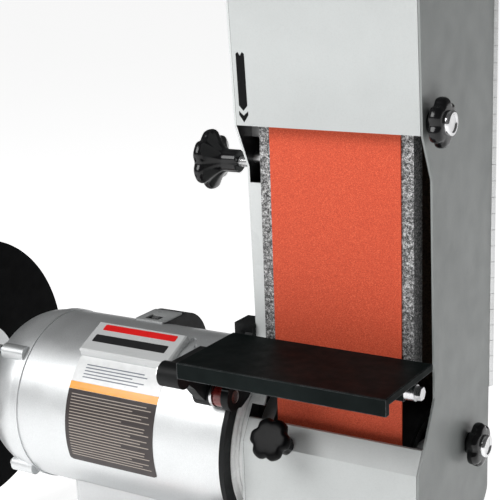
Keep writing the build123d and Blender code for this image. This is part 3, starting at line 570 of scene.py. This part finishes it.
NODE_LOOKS = {
    "upper": ["upper_guard"],
    "lower": ["lower_guard"],
    "door": ["door"],
    "strip": ["side_wall"],
    "back": ["back_plate"],
    "silver": ["motor_shell", "left_bell", "right_bell"],
    "base": ["base_casting"],
    "hub": ["arm_hub"],
    "plate": ["name_plate"],
    "guard_black": ["wheel_guard", "guard_cover"],
    "black": ["clamp_ring", "table_bracket", "table_arm", "tool_rest_bracket", "tool_rest",
              "spark_guard", "shield_arm"],
    "table": ["table"],
    "knob": ["tracking_knob", "upper_latch_knob", "lower_latch_knob", "guard_knob",
             "tool_rest_knob", "tension_lever", "arm_lock_lever"],
    "capacitor": ["capacitor_box", "dust_port"],
    "red_switch": ["switch_paddle"],
    "plastic": ["switch_plate", "switch_body", "cord_gland"],
    "rubber": ["base_feet"],
    "steel": ["rotor_shaft", "bearing_outer_races", "bearing_inner_races", "case_screws",
              "wheel_clamp", "tracking_screw", "pivot_bolt", "table_bolts"],
    "upright_steel": ["hinge_pin", "tension_spring"],
    "hinge": ["frame_hinge_leaf", "door_hinge_leaf"],
    "zinc": ["frame_brackets", "tension_slide", "tracking_lever"],
    "platen": ["platen"],
    "belt": ["sanding_belt"],
    "laminations": ["stator", "rotor_core"],
    "aluminium": ["drive_pulley", "idler_pulley"],
    "tyre": ["pulley_tyre"],
    "stone": ["grinding_wheel"],
    "spacer": ["pivot_spacer"],
    "clear": ["eye_shield"],
}


def dress_nodes():
    """Gives each CAD piece its material, the ones with a Blender stand-in too."""
    for look, nodes in NODE_LOOKS.items():
        for node in nodes:
            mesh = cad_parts[node].data
            mesh.materials.clear()
            mesh.materials.append(LOOKS[look])
    missing = set(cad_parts) - {n for group in NODE_LOOKS.values() for n in group}
    if missing:
        raise RuntimeError(f"nodes with no material: {sorted(missing)}")


# Labels on the motor

def wrapped_label(name, x_span, angles, radius, material, corners=(0, 0)):
    """Thin vinyl that follows the motor's round side; corners are the radii of its ends."""
    rows, columns = 48, 40
    start, stop = angles
    height = radians(stop - start) * radius
    middle, half = sum(x_span) / 2, (x_span[1] - x_span[0]) / 2
    bm = bmesh.new()
    layers = []
    for lift in (0.0, VINYL):
        layer = []
        for row in range(rows + 1):
            share = row / rows
            inset = 0.0
            for corner, gone in zip(corners, (share * height, (1 - share) * height)):
                if gone < corner:
                    inset = corner - sqrt(corner ** 2 - (corner - gone) ** 2)
            angle = start + share * (stop - start)
            width = half - inset
            places = [middle + width * (2 * c / columns - 1) for c in range(columns + 1)]
            layer.append([bm.verts.new(on_motor(angle, radius + lift, x)) for x in places])
        layers.append(layer)
    for layer in layers:
        for row in range(rows):
            for c in range(columns):
                bm.faces.new((layer[row][c], layer[row][c + 1],
                              layer[row + 1][c + 1], layer[row + 1][c]))
    rim = []
    for layer in layers:
        edge = [layer[0][c] for c in range(columns + 1)]
        edge += [layer[row][columns] for row in range(1, rows + 1)]
        edge += [layer[rows][c] for c in range(columns - 1, -1, -1)]
        edge += [layer[row][0] for row in range(rows - 1, 0, -1)]
        rim.append(edge)
    inner, outer = rim
    for i in range(len(inner)):
        j = (i + 1) % len(inner)
        bm.faces.new((inner[i], inner[j], outer[j], outer[i]))
    piece = make_object(name, mesh_from(bm, name), material)
    return place(piece, "base")


def ruled_lines(prefix, x_span, angles, count, material, half_width=0.26):
    """Fine plain rules across a label, of uneven length and with no lettering."""
    start, stop = angles
    radius = LABEL_RADIUS + RULE_OFFSET
    for i in range(count):
        angle = stop - (i + 0.5) * (stop - start) / count
        short = (0.06, 0.0, 0.22, 0.02, 0.1, 0.0, 0.34, 0.05)[i % 8]
        end = x_span[1] - short * (x_span[1] - x_span[0])
        width = (angle - half_width, angle + half_width)
        wrapped_label(f"{prefix}_{i:02d}", (x_span[0], end), width, radius, material)


def motor_label():
    """Rating label: white head, amber band and brown body, with rules for the text."""
    x_span = (low("name_plate").x, high("name_plate").x)
    white = printed("label_white", (0.86, 0.87, 0.87))
    amber = printed("label_amber", (0.90, 0.37, 0.02))
    brown = printed("label_brown", (0.022, 0.013, 0.012), 0.5)
    cream = printed("label_rule", (0.42, 0.36, 0.31), 0.45)
    grey = printed("label_grey", (0.16, 0.18, 0.22), 0.4)
    wrapped_label("label_head", x_span, LABEL_HEAD, LABEL_RADIUS, white, (0, 2 * MM))
    wrapped_label("label_band", x_span, LABEL_BAND, LABEL_RADIUS, amber)
    wrapped_label("label_body", x_span, LABEL_BODY, LABEL_RADIUS, brown, (3 * MM, 0))
    inner = (x_span[0] + 4 * MM, x_span[1] - 4 * MM)
    ruled_lines("label_rule", inner, LABEL_RULES, 22, cream)
    ruled_lines("label_line", (inner[0] + 6 * MM, inner[1] - 12 * MM), LABEL_LINES, 5,
                grey, 0.35)


# Floor, light and camera

def studio():
    """Pale floor, white surroundings and three soft lamps."""
    floor_z = CAD_BOX[0].z - FLOOR_DROP
    bm = bmesh.new()
    size = FLOOR_HALF
    corners = ((-size, -size), (size, -size), (size, size), (-size, size))
    bm.faces.new([bm.verts.new((x, y, floor_z)) for x, y in corners])
    floor_paint = Shader("floor_paper", (0.9, 0.9, 0.9), 0.85, Emission_Strength=0.84,
                         Emission_Color=(1, 1, 1, 1))
    floor_paint.color(floor_paint.mix(floor_paint.noise(2.0), (0.89, 0.89, 0.89),
                                      (0.92, 0.92, 0.92)))
    mesh = bpy.data.meshes.new("floor")
    bm.to_mesh(mesh)
    bm.free()
    floor = make_object("floor", mesh, floor_paint.material)

    world = bpy.data.worlds.new("studio")
    bpy.context.scene.world = world
    world.use_nodes = True
    tree = world.node_tree
    shown, light = tree.nodes["Background"], tree.nodes.new("ShaderNodeBackground")
    shown.inputs["Color"].default_value = (1, 1, 1, 1)
    light.inputs["Color"].default_value = (1, 1, 1, 1)
    light.inputs["Strength"].default_value = SKY_LIGHT
    rays, both = tree.nodes.new("ShaderNodeLightPath"), tree.nodes.new("ShaderNodeMixShader")
    tree.links.new(rays.outputs["Is Camera Ray"], both.inputs[0])
    tree.links.new(light.outputs[0], both.inputs[1])
    tree.links.new(shown.outputs[0], both.inputs[2])
    tree.links.new(both.outputs[0], tree.nodes["World Output"].inputs["Surface"])
    bpy.context.scene.view_settings.view_transform = "Standard"

    for name, place_at, aim, size_xy, power in LAMPS:
        data = bpy.data.lights.new(name, "AREA")
        data.shape = "RECTANGLE"
        data.size, data.size_y = size_xy
        data.energy = power
        lamp = bpy.data.objects.new(name, data)
        lamp.location = place_at
        lamp.rotation_mode = "QUATERNION"
        lamp.rotation_quaternion = (Vector(aim) - Vector(place_at)).to_track_quat("-Z", "Y")
        bpy.context.scene.collection.objects.link(lamp)


def photo_camera():
    """Camera at the photograph's place and angle."""
    azimuth, pitch, roll = radians(CAMERA_AZIMUTH), radians(CAMERA_PITCH), radians(CAMERA_ROLL)
    across = Vector((cos(azimuth), sin(azimuth), 0))
    ahead = Vector((-sin(azimuth) * cos(pitch), cos(azimuth) * cos(pitch), -sin(pitch)))
    up = across.cross(ahead)
    right = cos(roll) * across + sin(roll) * up
    up = cos(roll) * up - sin(roll) * across
    data = bpy.data.cameras.new("photo_camera")
    data.sensor_width = CAMERA_SENSOR
    data.lens = CAMERA_LENS
    data.clip_start, data.clip_end = 0.05, 50
    camera = bpy.data.objects.new("photo_camera", data)
    turn = Matrix((right, up, -ahead)).transposed().to_4x4()
    camera.matrix_world = Matrix.Translation(CAMERA_PLACE) @ turn
    bpy.context.scene.collection.objects.link(camera)
    bpy.context.scene.camera = camera


# Flat badges and plates

def extruded(name, loops, to_world, thick, material, body, soften=0.0):
    """Plate from closed outlines: the first is its edge and the others are holes.

    to_world(x, y, lift) turns a local point into a place in the frame."""
    bm = bmesh.new()
    rims = []
    for loop in loops:
        verts = [bm.verts.new((x, y, 0.0)) for x, y in loop]
        rims.append([bm.edges.new((verts[i], verts[(i + 1) % len(verts)]))
                     for i in range(len(verts))])
    edges = [edge for rim in rims for edge in rim]
    bmesh.ops.triangle_fill(bm, use_beauty=True, edges=edges)
    grown = bmesh.ops.extrude_face_region(bm, geom=bm.faces[:])
    for item in grown["geom"]:
        if isinstance(item, bmesh.types.BMVert):
            item.co.z += thick
    bmesh.ops.recalc_face_normals(bm, faces=bm.faces)
    if soften:
        top = [e for e in bm.edges
               if all(v.co.z > thick / 2 for v in e.verts)
               and e.calc_face_angle(0.0) > radians(60)]
        bmesh.ops.bevel(bm, geom=top, offset=soften, segments=2, profile=0.5,
                        affect="EDGES", clamp_overlap=True)
    for vert in bm.verts:
        vert.co = to_world(*vert.co)
    piece = make_object(name, mesh_from(bm, name), material)
    return place(piece, body)


def rounded(x0, x1, y0, y1, radius, steps=6):
    """Outline of a rectangle with round corners."""
    points = []
    for cx, cy, start in ((x1 - radius, y1 - radius, 0), (x0 + radius, y1 - radius, 90),
                          (x0 + radius, y0 + radius, 180), (x1 - radius, y0 + radius, 270)):
        for i in range(steps + 1):
            turn = radians(start + 90 * i / steps)
            points.append((cx + radius * cos(turn), cy + radius * sin(turn)))
    return points


def scaled_mm(points):
    return [(x * MM, y * MM) for x, y in points]


def name_plate_badge():
    """A red bar over a black bar: plain shapes on the raised plate."""
    tilt = radians(BADGE_TILT)
    along = Vector((0, sin(tilt), cos(tilt)))
    out = Vector((0, -cos(tilt), sin(tilt)))
    middle = on_motor(BADGE_TILT, BADGE_RADIUS, (low("name_plate").x + high("name_plate").x) / 2)

    def on_plate(x, y, lift):
        return middle + Vector((x, 0, 0)) + along * y + out * lift

    red = printed("badge_red", (0.86, 0.008, 0.008))
    ink = printed("badge_ink", (0.012, 0.012, 0.013))
    bars = (("badge_bar", (-35, 37, 7.4, 14.0), 1.2, red),
            ("badge_base", (-37, 35, -6.6, 1.6), 1.0, ink))
    for name, (x0, x1, y0, y1), corner, look in bars:
        extruded(name, [scaled_mm(rounded(x0, x1, y0, y1, corner))], on_plate, VINYL, look,
                 "base")


def arrow_sticker():
    """Black arrow that shows which way the belt runs: a notched bar, its tip and a chevron."""
    edge = GUARD_LIP
    up = (GUARD_TOP - edge).normalized()
    out = Vector((0, -up.z, up.y))
    start = edge.z

    def on_guard(x, y, lift):
        return edge + Vector((x, 0, 0)) + up * ((y - start) / up.z) + out * (lift + STICKER_GAP)

    ink = printed("sticker_ink", (0.0035, 0.0037, 0.004), 0.5, 0.1, 0.0)
    bar = [(122.8, 449.6), (126.2, 445.9), (129.6, 449.6), (129.6, 486.0), (128.0, 487.2),
           (126.2, 484.6), (124.4, 487.2), (122.8, 486.0)]
    chevron = [(126.2, 437.7), (129.9, 442.9), (129.9, 445.7), (126.2, 442.5), (122.5, 445.7),
               (122.5, 442.9)]
    for name, shape in (("arrow_bar", bar), ("arrow_chevron", chevron)):
        extruded(name, [scaled_mm(shape)], on_guard, VINYL, ink, "belt_arm")


def capacitor_cap():
    """Grey plate on top of the capacitor box, with a square hole and a small screw in it."""
    top = high("capacitor_box").z

    def on_box(x, y, lift):
        return Vector((x, y, top + lift))

    plate = textured_paint("cap_coat", (0.36, 0.37, 0.37), 0.3, 1200, 0.00006)
    outer = rounded(-34.4, -5.6, 14.6, 44.4, 1.6)
    hole = rounded(-27, -13.5, 19, 30.5, 1.0)
    extruded("capacitor_plate", [scaled_mm(outer), scaled_mm(hole)], on_box, 1.4 * MM, plate,
             "base", soften=0.45 * MM)
    head = [(-20.2 + 3.2 * cos(2 * pi * i / 32), 24.8 + 3.2 * sin(2 * pi * i / 32))
            for i in range(32)]
    extruded("capacitor_screw", [scaled_mm(head)], on_box, 1.1 * MM, LOOKS["steel"],
             "base", soften=0.5 * MM)


# Knobs and screws

def loft(name, loops, material, smooth=40.0):
    """Skin over loops of points; a loop of one point is the middle of a closed end."""
    bm = bmesh.new()
    rows = [[bm.verts.new(point) for point in loop] for loop in loops]
    for one, other in zip(rows, rows[1:]):
        count = max(len(one), len(other))
        for i in range(count):
            j = (i + 1) % count
            corners = [one[i % len(one)], one[j % len(one)],
                       other[j % len(other)], other[i % len(other)]]
            bm.faces.new(list(dict.fromkeys(corners)))
    return make_object(name, mesh_from(bm, name, smooth), material)


def turned(name, rings, origin, out, tip, material, lobes=0, segments=112):
    """Turned or lobed body; each ring is its place along out, its radius and its flute depth."""
    side = out.cross(tip)
    loops = []
    for along, radius, bite in rings:
        middle = origin + out * along * MM
        if radius == 0:
            loops.append([middle])
            continue
        loop = []
        for i in range(segments):
            turn = 2 * pi * i / segments
            flute = bite * ((1 - cos(lobes * turn)) / 2) ** 2.4
            spoke = tip * cos(turn) + side * sin(turn)
            loop.append(middle + spoke * radius * (1 - flute) * MM)
        loops.append(loop)
    return loft(name, loops, material)


def knob_rings(radius, thick, hub, hub_length, bore, flare):
    """Profile of a moulded knob: bored hub, hollow sweep to the lobes, round rim, soft dome."""
    rings = [(0.4 * thick, 0, 0), (0.4 * thick, bore, 0), (-hub_length, bore, 0),
             (-hub_length, hub - 0.9, 0.04), (0.9 - hub_length, hub, 0.06)]
    steps = 9
    for i in range(steps + 1):
        share = i / steps
        along = -flare + share * (flare + 0.26 * thick)
        rings.append((along, hub + (0.95 * radius - hub) * share ** 1.8, 0.05 + 0.1 * share ** 2))
    rim = ((0.36, 0.985, 0.15), (0.5, 1.0, 0.155), (0.66, 0.99, 0.155), (0.8, 0.955, 0.15),
           (0.9, 0.89, 0.13), (0.955, 0.8, 0.1), (0.98, 0.66, 0.05), (0.99, 0.45, 0.01))
    rings += [(share * thick, reach * radius, bite) for share, reach, bite in rim]
    return rings + [(thick, 0, 0)]


def threaded_rod(name, start, out, length, radius, material, pitch=1.25, depth=0.32):
    """Rod with a rolled thread: each ring is a helix step further round."""
    tip = out.orthogonal().normalized()
    side = out.cross(tip)
    segments, per_turn = 36, 8
    rows = round(length / pitch * per_turn)
    loops = [[start]]
    for row in range(rows + 1):
        along = length * row / rows
        loop = []
        for i in range(segments):
            phase = (along / pitch - i / segments) % 1.0
            cut = depth * abs(2 * phase - 1)
            ends = min(along, length - along)
            cut = max(cut, 0.5 - ends)
            turn = 2 * pi * i / segments
            loop.append(start + out * along * MM
                        + (tip * cos(turn) + side * sin(turn)) * (radius - cut) * MM)
        loops.append(loop)
    loops.append([start + out * length * MM])
    return loft(name, loops, material, 60.0)


def spring():
    """Coil under the tension slide, at the fixed length of the CAD spring."""
    bottom, top = low("tension_spring"), high("tension_spring")
    middle = centre("tension_spring")
    wire, pitch, per_turn, segments = 0.5 * MM, 2.6 * MM, 28, 8
    radius = (top.x - bottom.x) / 2 - wire
    climb = top.z - bottom.z - 2 * wire
    rows = round(climb / pitch * per_turn)
    loops = []
    for row in range(rows + 1):
        turn = 2 * pi * row / per_turn
        out = Vector((cos(turn), sin(turn), 0))
        core = Vector((middle.x, middle.y, bottom.z + wire + climb * row / rows)) + out * radius
        loop = []
        for i in range(segments):
            round_wire = 2 * pi * i / segments
            loop.append(core + (out * cos(round_wire) + UP * sin(round_wire)) * wire)
        loops.append(loop)
    loops = [[sum(loops[0], Vector()) / segments], *loops, [sum(loops[-1], Vector()) / segments]]
    coil = loft("tension_coil", loops, LOOKS["upright_steel"], 60.0)
    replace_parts(place(coil, "belt_arm"), "tension_spring")
    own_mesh(coil)


def knobs():
    """Moulded knobs with their studs, in the places of the plain CAD ones."""
    screw = centre("tracking_screw")
    origin = Vector((TRACKING_KNOB_X, screw.y, screw.z))
    shape = knob_rings(radius=23, thick=11, hub=8.7, hub_length=20, bore=4.05, flare=9)
    knob = turned("tracking_star", shape, origin, -RIGHT, -UP, LOOKS["knob"], 6)
    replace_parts(place(knob, "tracking_knob"), "tracking_knob")
    first = low("tracking_screw").x
    rod = threaded_rod("tracking_thread", Vector((first, screw.y, screw.z)), RIGHT,
                       (high("tracking_screw").x - first) / MM, 4.0, LOOKS["steel"])
    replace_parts(place(rod, "tracking_knob"), "tracking_screw")

    shape = knob_rings(radius=17, thick=11, hub=8, hub_length=2.3, bore=4.05, flare=2)
    cap_shape = [(10.6, 0, 0), (10.6, 8.4, 0), (13.3, 8.4, 0), (14.0, 7.9, 0),
                 (14.3, 7.0, 0), (14.1, 6.2, 0), (13.2, 5.6, 0), (12.9, 0, 0)]
    for node in ("upper_latch_knob", "lower_latch_knob"):
        middle = centre(node)
        origin = Vector((high("door").x + LATCH_GAP, middle.y, middle.z))
        knob = turned(f"{node}_star", shape, origin, RIGHT, -UP, LOOKS["knob"], 6)
        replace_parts(place(knob, node), node)
        cap = turned(f"{node}_cap", cap_shape, origin, RIGHT, -UP, LOOKS["chrome"])
        place(cap, node)
        stud = threaded_rod(f"{node}_stud", Vector((LATCH_STUD_X * MM, origin.y, origin.z)), RIGHT,
                            (origin.x / MM - LATCH_STUD_X) + 4, 4.0, LOOKS["steel"])
        place(stud, node)

    tilt = radians(GUARD_KNOB_TILT)
    out = Vector((0, -cos(tilt), sin(tilt)))
    shape = knob_rings(radius=16, thick=10, hub=7, hub_length=20.5, bore=3.55, flare=4)
    knob = turned("guard_star", shape, GUARD_STUD_FOOT + out * 21 * MM, out, RIGHT,
                  LOOKS["dull_knob"], 6)
    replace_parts(place(knob, "guard_knob"), "guard_knob")
    stud = threaded_rod("guard_stud", GUARD_STUD_FOOT - out * 8 * MM, out, 32, 3.5,
                        LOOKS["steel"])
    place(stud, "guard_knob")

    shape = knob_rings(radius=17, thick=10, hub=7, hub_length=13.8, bore=4.05, flare=4)
    knob = turned("rest_star", shape, REST_KNOB_FOOT, -UP, RIGHT, LOOKS["knob"], 6)
    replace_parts(place(knob, "tool_rest_knob"), "tool_rest_knob")
    stud = threaded_rod("rest_stud", REST_KNOB_FOOT - UP * 3.5 * MM, UP, 43.5, 4.0,
                        LOOKS["steel"])
    place(stud, "tool_rest_knob")


studio()
photo_camera()
dress_nodes()
motor_label()
name_plate_badge()
arrow_sticker()
capacitor_cap()
knobs()
spring()
